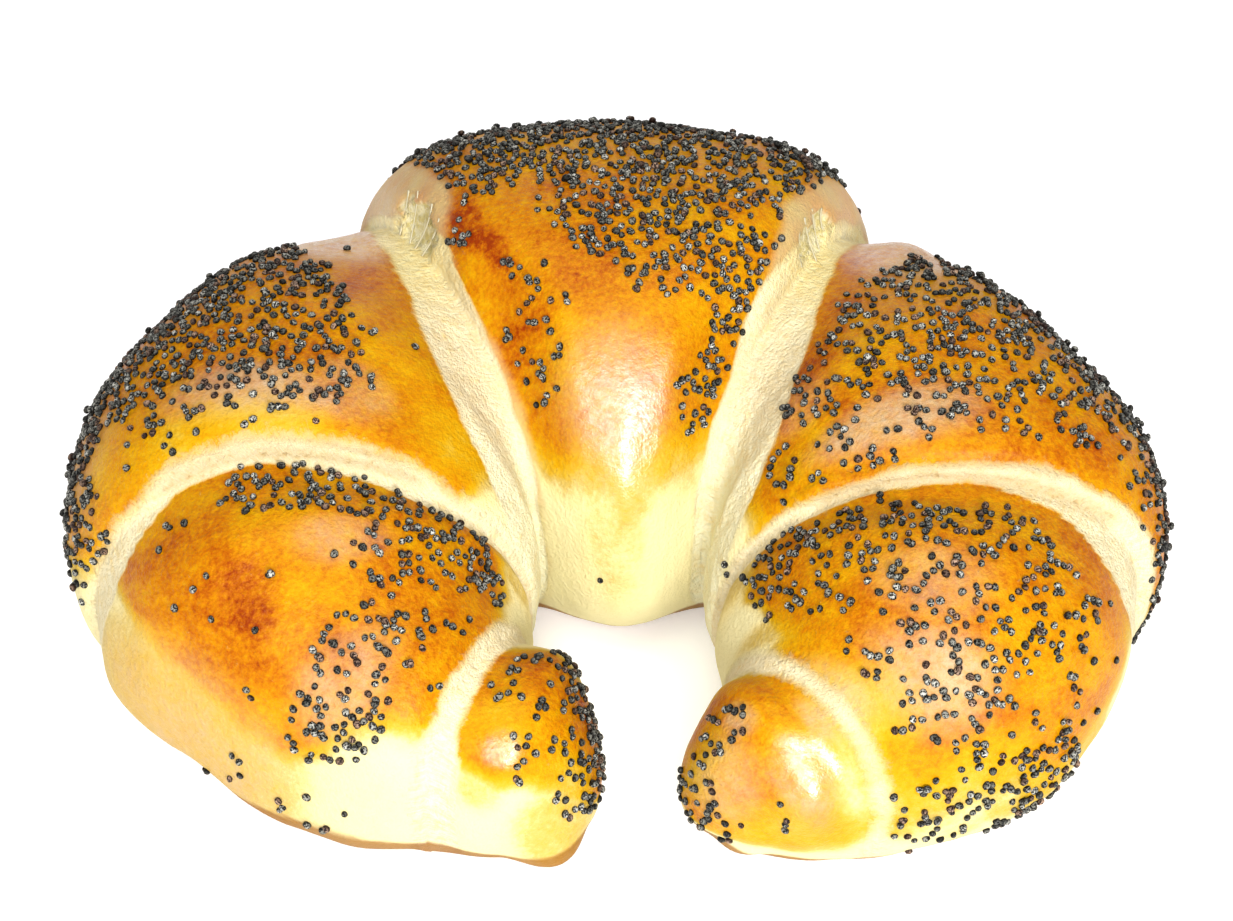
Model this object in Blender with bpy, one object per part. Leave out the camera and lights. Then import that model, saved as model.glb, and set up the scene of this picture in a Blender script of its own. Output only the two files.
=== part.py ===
"""Poppy seed crescent roll: one piece of baked dough with the largest of its poppy seeds.

The dough is a sheet rolled up and bent into a crescent. Seven lobes show, one for each turn of the
sheet: the middle one is the outermost turn and stands highest, and each horn comes out from under
it in three steps. The surface is worked out from sections across the roll, and the seeds are fused
to the crust. Lengths below are millimetres unless a name says otherwise; the model is in metres,
+Z up, resting on Z = 0 with the inside of its bend towards -Y.
"""
import random

import bmesh
import bpy
import numpy as np
from mathutils import Matrix, Vector
from mathutils.bvhtree import BVHTree

MM = 0.001

# Sections across the roll, from the tip of the left horn to the tip of the right one. Each has its
# widest point on the inside of the bend, its widest point on the outside, and the dough's height.
SECTIONS = (
    (-1.5, -23.0, -2.0, -37.0, 14.0),
    (-4.0, -19.0, -8.5, -38.5, 19.0),
    (-9.5, -16.5, -20.5, -37.5, 21.5),
    (-10.0, -13.5, -40.5, -29.5, 29.0),
    (-9.5, -11.0, -57.0, -13.0, 34.5),
    (-9.0, -6.0, -53.5, 18.0, 37.5),
    (-8.5, -2.5, -31.0, 39.0, 36.5),
    (0.5, -6.0, 0.0, 46.0, 37.0),
    (9.5, -2.5, 30.5, 37.5, 36.0),
    (10.5, -6.5, 53.0, 15.0, 36.5),
    (11.0, -12.0, 57.5, -12.0, 33.5),
    (12.0, -17.0, 45.0, -31.5, 29.0),
    (12.5, -21.5, 28.0, -38.0, 21.5),
    (9.5, -24.5, 15.5, -38.0, 19.0),
    (6.5, -26.0, 7.5, -37.0, 14.0),
)
PLAN_CENTRE = (-0.1, 7.25)
EQUATOR_SHARE = 0.40
UPPER_ROUNDNESS = 2.15
LOWER_ROUNDNESS = 3.0
BASE_CUT = 1.25
OUTWARD_LEAN = 0.08
NOSE_LENGTH = 1.7

# Every second section is the edge of a turn of the sheet; a lobe lies between two such edges.
LOBES = 7
MIDDLE_LOBE = 3
SECTIONS_PER_LOBE = 2
LOBE_CROWNS = (2.0, 3.0, 3.5, 8.0, 3.5, 3.0, 2.0)
EDGE_SHARES = (0.50, 0.20, 0.22, 0.23, 0.22, 0.20, 0.50)
RAMP_SHARES = (0.45, 0.34, 0.50, 0.50, 0.50, 0.34, 0.45)
INNER_CROWN_SHARE = 0.35

# Torn pockets where the middle lobe pulled away: section, angle, reach along, reach round, depth.
POCKETS = (
    (6.00, 78.0, 0.16, 16.0, 2.4),
    (7.97, 82.0, 0.14, 14.0, 2.2),
)

# Patches of seeds: section, angle, reach along, reach round, seeds on a square centimetre. An angle
# is measured round the section, from 0 at the outside of the bend over the top to 180 inside.
SEED_PATCHES = (
    (7.05, 52.0, 0.92, 42.0, 60.0),
    (7.25, 98.0, 0.65, 12.0, 42.0),
    (7.80, 122.0, 0.14, 26.0, 16.0),
    (6.40, 120.0, 0.28, 16.0, 9.0),
    (5.10, 45.0, 0.68, 38.0, 42.0),
    (4.72, 92.0, 0.42, 20.0, 18.0),
    (4.28, 24.0, 0.22, 34.0, 24.0),
    (3.10, 122.0, 0.85, 40.0, 27.0),
    (2.48, 50.0, 0.30, 30.0, 26.0),
    (3.40, 48.0, 0.45, 24.0, 3.5),
    (0.62, 66.0, 0.50, 80.0, 28.0),
    (1.35, 84.0, 0.35, 30.0, 12.0),
    (9.05, 64.0, 0.82, 52.0, 38.0),
    (9.25, 126.0, 0.32, 16.0, 13.0),
    (11.00, 64.0, 0.95, 78.0, 24.0),
    (10.35, 134.0, 0.42, 28.0, 42.0),
    (13.62, 60.0, 0.40, 84.0, 32.0),
    (12.85, 80.0, 0.35, 24.0, 8.0),
)
LARGE_SEED_COUNT = 215
LARGE_SEED_HALF_SIZES = (0.66, 0.54, 0.46)
LARGE_SEED_SPACING = 2.6
SEED_SINK_SHARE = 0.25
SEED_RANDOM = 41

RINGS_PER_LOBE = 10
POINTS_PER_RING = 30

CRUST_COLOUR = (0.60, 0.26, 0.045, 1.0)
CRUST_ROUGHNESS = 0.42
SEED_COLOUR = (0.045, 0.050, 0.062, 1.0)
SEED_ROUGHNESS = 0.60


def clear_scene():
    """Empty the scene that the script runs in."""
    for scene_object in list(bpy.data.objects):
        bpy.data.objects.remove(scene_object, do_unlink=True)


def make_material(name, colour, roughness):
    """A plain surface of one colour."""
    material = bpy.data.materials.new(name)
    material.use_nodes = True
    shader = material.node_tree.nodes["Principled BSDF"]
    shader.inputs["Base Color"].default_value = colour
    shader.inputs["Roughness"].default_value = roughness
    shader.inputs["Metallic"].default_value = 0.0
    return material


def ease(share):
    """Smooth step from 0 to 1."""
    share = np.clip(share, 0.0, 1.0)
    return share * share * (3.0 - 2.0 * share)


def section_at(station):
    """The sections, joined by a Catmull-Rom curve and read at a fractional section number."""
    rows = np.array(SECTIONS)
    last = len(rows) - 1
    station = np.clip(station, 0.0, last - 1e-9)
    row = np.floor(station).astype(int)
    step = (station - row)[..., None]
    before, start, end, after = (rows[np.clip(row + shift, 0, last)] for shift in (-1, 0, 1, 2))
    slope = (end - before) * step
    bend = (2.0 * before - 5.0 * start + 4.0 * end - after) * step ** 2
    twist = (3.0 * start - before - 3.0 * end + after) * step ** 3
    return start + 0.5 * (slope + bend + twist)


def section_outline(angle, half_width, height):
    """A rounded section with a flat base: distance outwards from its middle, and height."""
    across = np.cos(angle)
    up = np.sin(angle)
    upper = up >= 0.0
    power = np.where(upper, 2.0 / UPPER_ROUNDNESS, 2.0 / LOWER_ROUNDNESS)
    equator = EQUATOR_SHARE * height
    outwards = half_width * np.sign(across) * np.abs(across) ** power
    reach = np.where(upper, height - equator, BASE_CUT * equator)
    upwards = equator + reach * np.sign(up) * np.abs(up) ** power
    return outwards, np.maximum(upwards, 0.0)


def lobe_profile(station):
    """The lobe at a station, and how far its crown has risen there, from 0 to 1."""
    lobe = np.clip((station // SECTIONS_PER_LOBE).astype(int), 0, LOBES - 1)
    share = station / SECTIONS_PER_LOBE - lobe
    towards_middle = np.where(lobe < MIDDLE_LOBE, 1.0 - share, share)
    edge_width = np.array(EDGE_SHARES)[lobe]
    ramp_width = np.array(RAMP_SHARES)[lobe]

    def rounded_edge(distance):
        return np.sqrt(1.0 - (1.0 - np.clip(distance / edge_width, 0.0, 1.0)) ** 2)

    ramp = ease(towards_middle / ramp_width)
    outer_edge = rounded_edge(1.0 - towards_middle)
    side_lobe = ramp * np.where((lobe == 0) | (lobe == LOBES - 1), 1.0, outer_edge)
    middle_lobe = rounded_edge(share) * rounded_edge(1.0 - share)
    return lobe, np.where(lobe == MIDDLE_LOBE, middle_lobe, side_lobe)


def pocket_depth(station, angle):
    """How deep the torn pockets are at a point of the surface."""
    depth = np.zeros_like(station)
    degrees = np.degrees(angle)
    for pocket_station, pocket_angle, along, around, deepest in POCKETS:
        distance = np.hypot((station - pocket_station) / along, (degrees - pocket_angle) / around)
        depth += deepest * ease(1.0 - distance)
    return depth


def surface_point(station, angle):
    """Points of the dough's surface in millimetres, for arrays of stations and angles."""
    section = section_at(station)
    inner = section[..., 0:2]
    outer = section[..., 2:4]
    height = section[..., 4]
    width_vector = outer - inner
    width = np.linalg.norm(width_vector, axis=-1)
    half_width = width / 2.0
    nose = np.clip(np.minimum(station, len(SECTIONS) - 1 - station) / NOSE_LENGTH, 0.0, 1.0)
    nose_scale = np.sqrt(1.0 - (1.0 - nose) ** 2)

    outwards, upwards = section_outline(angle, half_width, height)
    equator = EQUATOR_SHARE * height
    normal_out = outwards / half_width ** 2
    normal_up = (upwards - equator) / (height - equator) ** 2
    normal_length = np.hypot(normal_out, normal_up) + 1e-9

    lobe, rise = lobe_profile(station)
    outside_share = INNER_CROWN_SHARE + (1.0 - INNER_CROWN_SHARE) * ease(np.cos(angle) + 0.95)
    off_the_base = ease(upwards / (0.35 * height))
    crown = np.array(LOBE_CROWNS)[lobe] * rise * outside_share
    swell = (crown - pocket_depth(station, angle)) * off_the_base * nose_scale

    lean = OUTWARD_LEAN * half_width * ease(upwards / height)
    outwards = (outwards + lean) * nose_scale + swell * normal_out / normal_length
    upwards = equator + (upwards - equator) * nose_scale + swell * normal_up / normal_length
    plan = (inner + outer) / 2.0 + width_vector / width[..., None] * outwards[..., None]
    plan = plan - np.array(PLAN_CENTRE)
    return np.concatenate([plan, np.maximum(upwards, 0.0)[..., None]], axis=-1)


def ring_stations():
    """Stations of the mesh's rings, closer together at the edges of the lobes."""
    share = (1.0 - np.cos(np.pi * np.arange(RINGS_PER_LOBE) / RINGS_PER_LOBE)) / 2.0
    starts = np.arange(LOBES)[:, None]
    return (SECTIONS_PER_LOBE * (starts + share[None, :])).ravel()[1:]


def make_dough_mesh():
    """The dough as one closed mesh: rings round the roll and a point at each horn's tip."""
    stations = ring_stations()
    angles = 2.0 * np.pi * np.arange(POINTS_PER_RING) / POINTS_PER_RING
    station_grid, angle_grid = np.meshgrid(stations, angles, indexing="ij")
    rings = surface_point(station_grid, angle_grid) * MM
    tips = surface_point(np.array([0.0, len(SECTIONS) - 1.0]), np.array([0.0, 0.0])) * MM

    dough = bmesh.new()
    ring_vertices = [[dough.verts.new(point) for point in ring] for ring in rings.tolist()]
    tip_vertices = [dough.verts.new(point) for point in tips.tolist()]
    for first, second in zip(ring_vertices, ring_vertices[1:]):
        for index in range(POINTS_PER_RING):
            after = (index + 1) % POINTS_PER_RING
            dough.faces.new((first[index], second[index], second[after], first[after]))
    for tip, ring in ((tip_vertices[0], ring_vertices[0]), (tip_vertices[1], ring_vertices[-1])):
        for index in range(POINTS_PER_RING):
            dough.faces.new((tip, ring[index], ring[(index + 1) % POINTS_PER_RING]))
    bmesh.ops.triangulate(dough, faces=dough.faces[:])
    bmesh.ops.recalc_face_normals(dough, faces=dough.faces[:])
    mesh = bpy.data.meshes.new("crescent_roll")
    dough.to_mesh(mesh)
    dough.free()
    return mesh


def seed_density(station, angle):
    """Seeds on a square centimetre at a point of the crust, the densest patch there counting."""
    density = 0.0
    for patch_station, patch_angle, along, around, seeds in SEED_PATCHES:
        share_along = abs(station - patch_station) / along
        share_around = abs(angle - patch_angle) / around
        distance = (share_along ** 4 + share_around ** 4) ** 0.25
        density = max(density, seeds * float(ease((1.15 - distance) / 0.3)))
    return density


def scatter_seeds(dough_tree):
    """Places for the largest seeds: a point on the crust and its normal, kept apart."""
    draw = random.Random(SEED_RANDOM)
    densest = max(patch[-1] for patch in SEED_PATCHES)
    last_station = len(SECTIONS) - 1
    places = []
    while len(places) < LARGE_SEED_COUNT:
        station = draw.uniform(0.1, last_station - 0.1)
        angle = draw.uniform(-20.0, 180.0)
        if draw.random() > seed_density(station, angle) / densest:
            continue
        ideal = surface_point(np.array([station]), np.radians(np.array([angle])))[0] * MM
        point, normal, _, _ = dough_tree.find_nearest(Vector(ideal.tolist()))
        if any((point - other).length < LARGE_SEED_SPACING * MM for other, _ in places):
            continue
        places.append((point, normal))
    return places


def make_seeds(places, material):
    """A collection of seeds, each lying flat on the crust and a little sunk into it."""
    collection = bpy.data.collections.new("seeds")
    bpy.context.scene.collection.children.link(collection)
    draw = random.Random(SEED_RANDOM + 1)
    stretch = Matrix.Diagonal([size * MM for size in LARGE_SEED_HALF_SIZES] + [1.0])
    seed = bmesh.new()
    bmesh.ops.create_icosphere(seed, subdivisions=1, radius=1.0, matrix=stretch)
    seed_mesh = bpy.data.meshes.new("large_seed")
    seed.to_mesh(seed_mesh)
    seed.free()
    seed_mesh.materials.append(material)
    stand_off = LARGE_SEED_HALF_SIZES[2] * (1.0 - 2.0 * SEED_SINK_SHARE) * MM
    for number, (point, normal) in enumerate(places):
        seed_object = bpy.data.objects.new(f"large_seed_{number:03d}", seed_mesh)
        spin = Matrix.Rotation(draw.uniform(0.0, 2.0 * np.pi), 4, "Z")
        lie = normal.to_track_quat("Z", "Y").to_matrix().to_4x4()
        seed_object.matrix_world = Matrix.Translation(point + normal * stand_off) @ lie @ spin
        collection.objects.link(seed_object)
    return collection


def fuse_seeds(roll, collection):
    """Join the seeds to the dough, so that the roll is one body, and remove the loose ones."""
    union = roll.modifiers.new("seeds", "BOOLEAN")
    union.operation = "UNION"
    union.operand_type = "COLLECTION"
    union.collection = collection
    union.solver = "EXACT"
    union.material_mode = "TRANSFER"
    bpy.context.view_layer.update()
    evaluated = roll.evaluated_get(bpy.context.evaluated_depsgraph_get())
    fused_mesh = bpy.data.meshes.new_from_object(evaluated)
    fused_mesh.name = roll.name
    roll.modifiers.clear()
    roll.data = fused_mesh
    for seed_object in list(collection.objects):
        bpy.data.objects.remove(seed_object, do_unlink=True)
    bpy.data.collections.remove(collection)


def make_roll():
    """The whole roll: dough, then the seeds on it."""
    crust = make_material("crust", CRUST_COLOUR, CRUST_ROUGHNESS)
    seed_coat = make_material("poppy_seed", SEED_COLOUR, SEED_ROUGHNESS)
    roll = bpy.data.objects.new("crescent_roll", make_dough_mesh())
    roll.data.materials.append(crust)
    bpy.context.scene.collection.objects.link(roll)
    bpy.context.view_layer.update()
    dough_tree = BVHTree.FromPolygons(
        [vertex.co for vertex in roll.data.vertices],
        [tuple(face.vertices) for face in roll.data.polygons],
    )
    fuse_seeds(roll, make_seeds(scatter_seeds(dough_tree), seed_coat))
    roll.data.shade_smooth()


clear_scene()
make_roll()
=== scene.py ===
"""Poppy seed crescent roll: glossy baked dough with torn cream bands, and a full scatter of seeds.

The dough's surface is worked out from the same sections across the roll as the solid. Lengths are
millimetres unless a name says otherwise, and every mesh is written in metres. A place on the dough is
a station along the roll, 0 to 14 from the left horn's tip to the right's, and an angle round its
section in degrees: 0 on the outside of the bend, 90 on top and 180 on the inside. A patch is a
station, an angle, its reach in stations and in degrees, and a value. A layer of noise is an amount, a
size of lump and a seed, and fibres are a length, a width, a slant and a seed.
"""
import itertools
import math

import bpy
import numpy as np
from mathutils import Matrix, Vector, noise


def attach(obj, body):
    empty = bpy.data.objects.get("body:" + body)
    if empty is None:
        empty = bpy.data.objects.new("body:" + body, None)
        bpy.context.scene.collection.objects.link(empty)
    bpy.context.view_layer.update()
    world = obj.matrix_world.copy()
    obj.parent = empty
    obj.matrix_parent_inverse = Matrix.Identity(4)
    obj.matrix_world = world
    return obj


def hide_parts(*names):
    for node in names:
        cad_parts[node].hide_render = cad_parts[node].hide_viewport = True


MM = 0.001

# ---- the dough's form, as in the solid
# Sections across the roll: inner x and y, outer x and y, height.
SECTIONS = (
    (-1.5, -23, -2, -37, 14),
    (-4, -19, -8.5, -38.5, 19),
    (-9.5, -16.5, -20.5, -37.5, 21.5),
    (-10, -13.5, -40.5, -29.5, 29),
    (-9.5, -11, -57, -13, 34.5),
    (-9, -6, -53.5, 18, 37.5),
    (-8.5, -2.5, -31, 39, 36.5),
    (0.5, -6, 0, 46, 37),
    (9.5, -2.5, 30.5, 37.5, 36),
    (10.5, -6.5, 53, 15, 36.5),
    (11, -12, 57.5, -12, 33.5),
    (12, -17, 45, -31.5, 29),
    (12.5, -21.5, 28, -38, 21.5),
    (9.5, -24.5, 15.5, -38, 19),
    (6.5, -26, 7.5, -37, 14),
)
PLAN_CENTRE = (-0.1, 7.25)
EQUATOR_SHARE = 0.40
UPPER_ROUNDNESS = 2.15
LOWER_ROUNDNESS = 3
BASE_CUT = 1.25
OUTWARD_LEAN = 0.08
NOSE_LENGTH = 1.7

LOBES = 7
MIDDLE_LOBE = 3
SECTIONS_PER_LOBE = 2
MIDDLE_STATION = (MIDDLE_LOBE + 0.5) * SECTIONS_PER_LOBE
LOBE_CROWNS = (2, 3, 3.5, 8, 3.5, 3, 2)
EDGE_SHARES = (0.50, 0.20, 0.22, 0.23, 0.22, 0.20, 0.50)
RAMP_SHARES = (0.45, 0.34, 0.50, 0.50, 0.50, 0.34, 0.45)
INNER_CROWN_SHARE = 0.35
CROWN_TURN = 0.95
CROWN_FOOT_SHARE = 0.35

# On the inside of the bend the middle lobe's edges run out into its neighbours: the angles over which
# they go soft, and how wide they are there.
SOFT_FROM = 84
SOFT_OVER = 50
SOFT_EDGE_SHARE = 0.32

# Where an edge of a turn strays from its section: edge, how far along the roll that is felt, and the
# shift in stations at some angles.
EDGE_SHIFTS = (
    (4, 1.2, ((52, 0), (68, 0.06), (84, 0.12), (98, 0.1), (114, 0.05), (132, 0))),
)

# The grid. Its rings are spaced evenly as measured along the crust at a few watched angles.
RING_SPACING = 0.64
POINTS_PER_RING = 216
WATCHED_DEGREES = (5, 50, 90, 130)
FINE_STATIONS = 1501

# ---- the crust's relief, in mm
CRUST_NOISE = ((0.42, 15, 1), (0.16, 6, 2), (0.05, 1.6, 14))
TORN_NOISE = ((0.15, 2.6, 16), (0.10, 1.3, 23))
TORN_FIBRES = (4, 1.5, 0.5, 15)
TORN_FIBRE_HEIGHT = 0.10
TORN_DEPTH = 0.18
FLOOR_FADE = 2.5

# Pale, seedless walls above the middle lobe's torn edges: edge, and their height at some angles.
WALLS = (
    (6, ((40, 9), (80, 9.5), (92, 4.5), (104, 2))),
    (8, ((40, 8), (84, 8.5), (100, 5), (125, 1.5))),
)
WALL_WANDER = ((0.7, 3, 22),)
WALL_FADE = 1.5

# Torn pockets in those walls: edge, angle, distance above the edge, reach along, reach round, depth.
POCKETS = (
    (6, 76, 2.5, 3, 5, 1.1),
    (8, 79, 2.4, 2.4, 4.4, 1.1),
)
POCKET_NOISE = ((0.45, 1.5, 10), (0.25, 0.6, 21))
POCKET_FADE = 0.4

# Strands of crumb across each pocket, with spread and reach as shares of the pocket's own.
THREADS_PER_POCKET = 4
THREADS_SPREAD = 0.80
THREADS_JITTER = 0.05
THREAD_REACH = 1.2
THREAD_LEAN = 1.6
THREAD_BOW = 0.6
THREAD_DEPTHS = (0.5, 0.9)
THREAD_RISE = 0.25
THREAD_RADII = (0.08, 0.16)
THREAD_RINGS = 11
THREAD_SIDES = 6

# Dough that fills the foot of an edge: edge, height, reach to each side.
FILLS = (
    (12, 1.6, 1.9),
    (2, 0.5, 1.2),
)

# Edges whose step is blurred along the roll: edge, reach in mm, passes of the blur.
BLURRED_EDGES = ((12, 2.6, 60),)

# Gentle swells and flats of this one roll: patches of height.
SWELLS = (
    (8.95, 34, 0.5, 44, -2),
    (8.26, 50, 0.22, 30, 1.4),
    (5.05, 35, 0.45, 36, -1.4),
    (3.75, -4, 0.4, 26, 1.1),
    (2.74, -17, 0.55, 34, 1.7),
    (2.35, -15, 0.35, 30, 0.9),
    (0.9, -34, 0.6, 34, 2.2),
    (13.12, -40, 0.4, 30, 1.2),
    (10.6, -4, 0.45, 30, -0.9),
    (7, 50, 0.95, 30, 0.5),
    (12.58, 20, 0.5, 34, 2),
)

# Flaky layers that stand proud beside an edge: edge, first and last angle, distance down from the
# edge, width, height.
LAYERS = (
    (10, 36, 132, -1.2, 1.3, 0.45),
    (10, 44, 124, 0.9, 1.1, 0.3),
    (4, 50, 124, -0.8, 1.2, 0.25),
)
LAYER_WANDER = ((0.6, 4, 13),)

# Where cracks show beside an edge, sunk a little and darkened with painted shade: edge, first and
# last angle, distance down from it, width, share.
GROOVES = (
    (6, 92, 172, -0.6, 1.6, 0.5),
    (8, 92, 174, -0.6, 1.6, 0.5),
    (4, 54, 124, -1, 1, 1),
    (10, 40, 126, -0.4, 1.2, 1),
    (10, 62, 118, -2.4, 0.8, 1),
    (4, 60, 118, -2.6, 0.7, 1),
)
GROOVE_WANDER = ((0.5, 3, 11),)
GROOVE_DEPTH = 0.25
ENDS_FADE_DEGREES = 8

# ---- the crust's colours
# Station, the angles on the outside and the inside of the bend where the gold gives way, and the
# degrees over which it fades there.
GOLD_RANGE = (
    (0, 10, 150, 24),
    (1, 28, 122, 22),
    (1.8, 40, 116, 22),
    (2.3, 38, 136, 30),
    (2.6, 12, 150, 24),
    (3, 18, 154, 16),
    (3.3, 20, 154, 16),
    (3.7, 30, 154, 16),
    (4.1, 8, 138, 18),
    (4.6, -8, 142, 18),
    (5.2, -20, 146, 18),
    (6, -20, 148, 18),
    (6.4, -20, 158, 34),
    (7, -20, 162, 50),
    (7.6, -20, 156, 34),
    (8, -20, 152, 18),
    (9, -20, 146, 18),
    (9.8, -6, 148, 18),
    (10.4, 12, 156, 20),
    (11, -8, 150, 20),
    (11.4, -4, 132, 26),
    (11.8, 0, 114, 28),
    (12.4, -6, 116, 30),
    (13, -10, 124, 24),
    (14, -10, 130, 24),
)
GOLD_WANDER = ((9, 9, 6), (4, 3, 7))
GOLD_TONE = 0.74
TONE_NOISE = ((0.12, 11, 8), (0.07, 3.5, 9))
TONE_LOST_IN_BAND = 0.6

# Patches that are browner or paler than that: the change.
TONE_PATCHES = (
    (6.2, 92, 0.13, 9, 0.34),
    (6.28, 99, 0.1, 6, 0.3),
    (6.32, 96, 0.22, 16, 0.08),
    (6.95, 106, 0.6, 14, 0.1),
    (6.52, 104, 0.3, 12, -0.04),
    (6.56, 120, 0.36, 20, -0.1),
    (6.6, 158, 0.6, 18, -0.24),
    (7.4, 154, 0.4, 16, -0.12),
    (7.7, 100, 0.3, 30, -0.06),
    (5.1, 106, 0.5, 24, -0.08),
    (4.56, 130, 0.6, 20, -0.24),
    (4.18, 80, 0.22, 38, -0.34),
    (4.22, 42, 0.2, 14, -0.12),
    (4.1, 10, 0.6, 24, -0.14),
    (8.22, 74, 0.16, 14, 0.16),
    (8.6, 112, 0.4, 18, 0.1),
    (9.6, 130, 0.5, 16, -0.1),
    (3.1, 52, 0.66, 28, 0.08),
    (2.9, 66, 0.3, 20, -0.05),
    (1.5, 64, 0.55, 24, -0.14),
    (0.6, 30, 0.6, 60, -0.34),
    (10.3, 78, 0.3, 24, -0.1),
    (11.95, 68, 0.44, 40, -0.44),
    (11.7, 10, 0.7, 30, -0.34),
    (12.75, 4, 1, 30, -0.26),
    (13.6, 60, 0.6, 60, -0.28),
    (12.18, 28, 0.34, 40, -0.5),
    (12.6, 44, 0.3, 12, -0.16),
    (12.34, 76, 0.22, 12, -0.1),
    (12.9, 95, 0.34, 14, 0.08),
    (12.4, 44, 0.36, 44, -0.12),
)

# Patches of the pale flanks with a tint of gold: the tone there.
TINTS = (
    (0.7, 0, 1, 60, 0.32),
    (1.55, 30, 0.5, 30, 0.25),
    (3.15, 4, 1.15, 56, 0.4),
    (2.4, 10, 0.6, 44, 0.1),
    (6.95, 168, 0.75, 34, 0.22),
    (10.4, 158, 0.8, 30, 0.24),
    (11.7, 132, 0.4, 40, 0.26),
    (3.3, 158, 0.9, 30, 0.26),
)
TINT_FULLNESS = 1.2

# Patches where the glaze is glossiest.
GLOSS_PATCHES = (
    (6.98, 138, 0.82, 30, 0.66),
    (12.6, 42, 0.5, 28, 1),
    (1.42, 50, 0.26, 14, 0.9),
    (5.76, 56, 0.44, 36, 0.75),
    (8.26, 56, 0.4, 36, 0.75),
)
GLOSS_FULLNESS = 1.8

# Patches of painted sheen: peach colour that stands in for the lights and the white room reflecting in
# the glaze.
PAINTED_SHEENS = (
    (2.5, 52, 0.3, 38, 0.6),
    (3.2, 90, 0.3, 18, 0.4),
    (3.15, 4, 1, 38, 0.6),
    (4.36, 84, 0.24, 34, 0.7),
    (4.55, 104, 0.3, 14, 0.5),
    (4.4, 24, 0.5, 30, 0.3),
    (5.7, 56, 0.44, 40, 0.55),
    (6.95, 138, 0.66, 28, 0.5),
    (8.32, 54, 0.4, 40, 0.55),
    (9.58, 104, 0.34, 30, 0.8),
    (8.95, 124, 0.45, 16, 0.3),
    (10.95, 82, 0.45, 24, 0.4),
    (11.5, 60, 0.5, 36, 0.8),
    (11.95, 76, 0.24, 30, 0.5),
    (12.26, 66, 0.26, 24, 0.6),
    (13.06, 80, 0.3, 18, 0.6),
    (12.56, 36, 0.44, 40, 0.55),
    (13.4, 40, 0.6, 60, 0.45),
)
PAINTED_SHEEN_FULLNESS = 1.3
PAINTED_SHEEN_NOISE = ((0.5, 7, 24), (0.3, 2.2, 25))

# Cream bands where the turns of the sheet pulled apart. For each edge of a turn: how far the cream
# climbs above the edge at some angles, how softly it ends there, how far it reaches over the next
# turn out at some angles, and how softly it ends there.
BANDS = (
    (2, ((0, 1.6),), 2, ((30, 3.4), (50, 2.4), (90, 1.6), (130, 1.8)), 1),
    (4, ((20, 0.4), (45, 1), (62, 2.8), (114, 2.8), (134, 1.6)), 3.6,
     ((20, 6), (45, 2.6), (60, 0.4), (105, 0.6), (130, 2.2), (160, 1)), 0.6),
    (6, ((60, 1.2), (75, 3.2), (90, 4.2), (98, 2.6), (118, 0.5)), 0.8,
     ((55, 1.8), (88, 4.1), (112, 7.2), (128, 9), (150, 11)), 1.4),
    (8, ((60, 1.6), (90, 3.6), (103, 4), (128, 1.2)), 0.8,
     ((55, 1.4), (80, 2.8), (90, 3.5), (112, 6.2), (133, 9.5), (150, 11)), 1.4),
    (10, ((0, 2.6), (80, 2.6), (104, 1.8), (118, 0.6), (140, 0.8)), 2,
     ((25, 8.4), (45, 5.2), (60, 2), (80, 0.3), (110, 0.5), (140, 1)), 0.8),
    (12, ((0, 0.9),), 3.6, ((40, 0.6), (80, 1), (95, 1.6), (110, 2.8)), 3.2),
)
BAND_WANDER = ((0.6, 5, 4), (0.16, 1.8, 5))
BAND_FIBRES = (4, 1, 0.5, 3)
FIBRES_IN_EDGE = 0.15

# Near the middle the cream is warmer on the outside of the bend, and paler in the folds inside, partly
# the dough's own and partly painted light against the shade in those folds: the angle where that
# starts, the degrees over which it grows, and its span in stations.
WARM_CREAM = (112, -30, 1.9)
PALE_FOLDS = (122, 36, 2.9)

# The browned rim that the tray left: station and height.
RIM_HEIGHTS = (
    (0, 3.6), (1.2, 3.2), (1.8, 3.5), (2.3, 7), (2.9, 6.6), (3.3, 3.8),
    (10.8, 2.8), (11.5, 3.8), (12.2, 1.6), (12.9, 1.6), (13.6, 4.4),
)
RIM_WANDER = ((0.5, 5, 17),)
RIM_FADE = 0.6

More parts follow.
